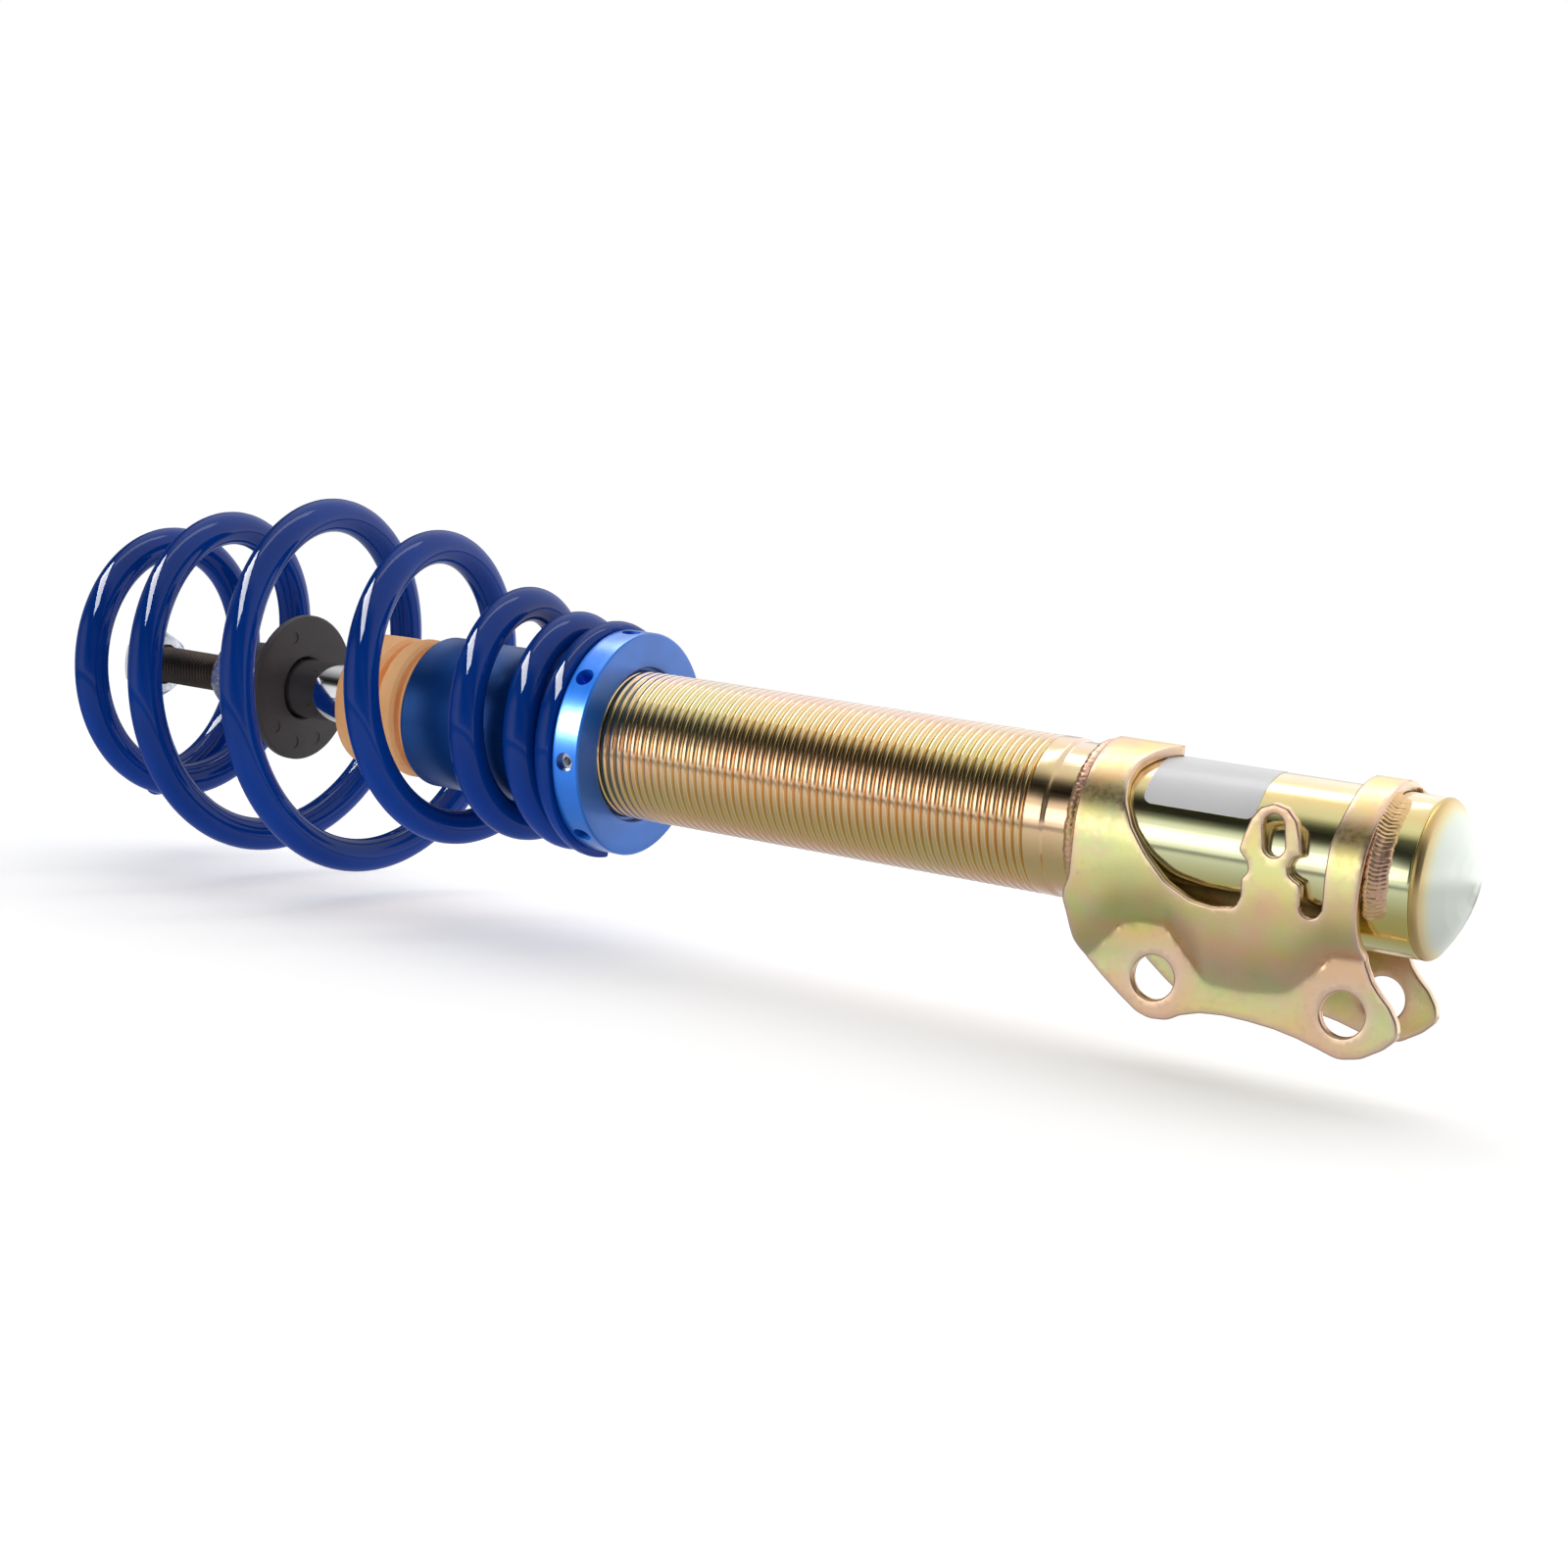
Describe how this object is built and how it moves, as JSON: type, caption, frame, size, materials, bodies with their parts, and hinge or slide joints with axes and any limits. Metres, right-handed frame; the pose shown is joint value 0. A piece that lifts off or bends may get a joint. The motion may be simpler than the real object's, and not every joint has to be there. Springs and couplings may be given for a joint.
{
  "type": "coil-over suspension strut",
  "caption": "Coil-over strut: threaded tube with pressed clevis bracket, adjustable spring collar, barrel coil spring, bump stop, dust cover and damper rod.",
  "frame": {"origin": "centre of the upper knuckle bolt hole, midway between the two ears of the clevis bracket", "axes": "+X along the strut axis from the rod's top stud towards the base cap; +Y along the knuckle bolts; +Z from the ears up to the strut axis, which lies at Z = 42.5 mm"},
  "size_m": [0.5419, 0.1374, 0.1367],
  "materials": {
    "zinc_yellow": "bright yellow zinc chromate over drawn steel, iridescent gold, pink and pale green",
    "weld_bead": "rippled weld bead, yellow zinc chromate with pink and brown heat tints",
    "cap_zinc": "pressed steel dome, pale yellow zinc",
    "label_film": "blank silver-white rating sticker, laminated film",
    "blue_anodised": "turned aluminium, satin bright-blue anodised",
    "cover_blue": "deep-drawn aluminium shell, satin dark-blue anodised",
    "spring_blue": "glossy cobalt-blue powder coat",
    "bump_foam": "tan microcellular polyurethane, matt",
    "plate_black": "moulded glass-filled nylon, dark grey",
    "rod_chrome": "ground and hard-chromed steel",
    "nut_zinc": "clear zinc plate",
    "seat_steel": "machined steel",
    "sintered": "sintered iron, oiled",
    "bush_bronze": "bronze-backed bush",
    "seal_nbr": "black nitrile rubber",
    "band_ptfe": "filled PTFE piston band",
    "pad_nylon": "natural nylon",
    "screw_black": "zinc-plated socket set screw"
  },
  "bodies": {
    "housing": {"strut_tube": "zinc_yellow", "base_cap": "cap_zinc", "base_valve": "sintered", "inner_cylinder": "seat_steel", "rod_guide": "sintered", "guide_bush": "bush_bronze", "rod_seal": "seal_nbr", "gland_nut": "nut_zinc", "knuckle_bracket": "zinc_yellow", "upper_weld": "weld_bead", "lower_welds": "weld_bead", "rating_label": "label_film", "dust_cover": "cover_blue", "bump_stop": "bump_foam"},
    "slider": {"piston_band": "band_ptfe"},
    "rod": {"piston_rod": "rod_chrome", "rebound_stop": "band_ptfe", "piston": "sintered", "valve_shims": "seat_steel", "piston_nut": "seat_steel", "bump_plate": "plate_black", "clamp_nut": "nut_zinc", "top_nut": "nut_zinc"},
    "carriage": {"coil_spring": "spring_blue"},
    "collar": {"adjuster_collar": "blue_anodised", "grub_screw": "screw_black", "screw_pad": "pad_nylon"}
  },
  "joints": [
    {"name": "rod_travel", "type": "slide", "parent": "housing", "child": "slider", "axis": [1, 0, 0], "range_m": [0, 0.063], "stiffness_N_per_m": 100, "springref_m": -1.2, "deforming": ["coil_spring", "bump_stop"]},
    {"name": "rod_turn", "type": "hinge", "parent": "slider", "child": "rod", "pos_m": [-0.2095, 0, 0.0425], "axis": [1, 0, 0], "continuous": true},
    {"name": "collar_travel", "type": "slide", "parent": "housing", "child": "carriage", "axis": [1, 0, 0], "range_m": [0, 0.06]},
    {"name": "collar_turn", "type": "hinge", "parent": "carriage", "child": "collar", "pos_m": [-0.21495, 0, 0.0425], "axis": [1, 0, 0], "range_deg": [0, 7200]}
  ],
  "couplings": [
    {"joint": "collar_turn", "follows": "collar_travel", "rad_per_m": 2094.4}
  ]
}
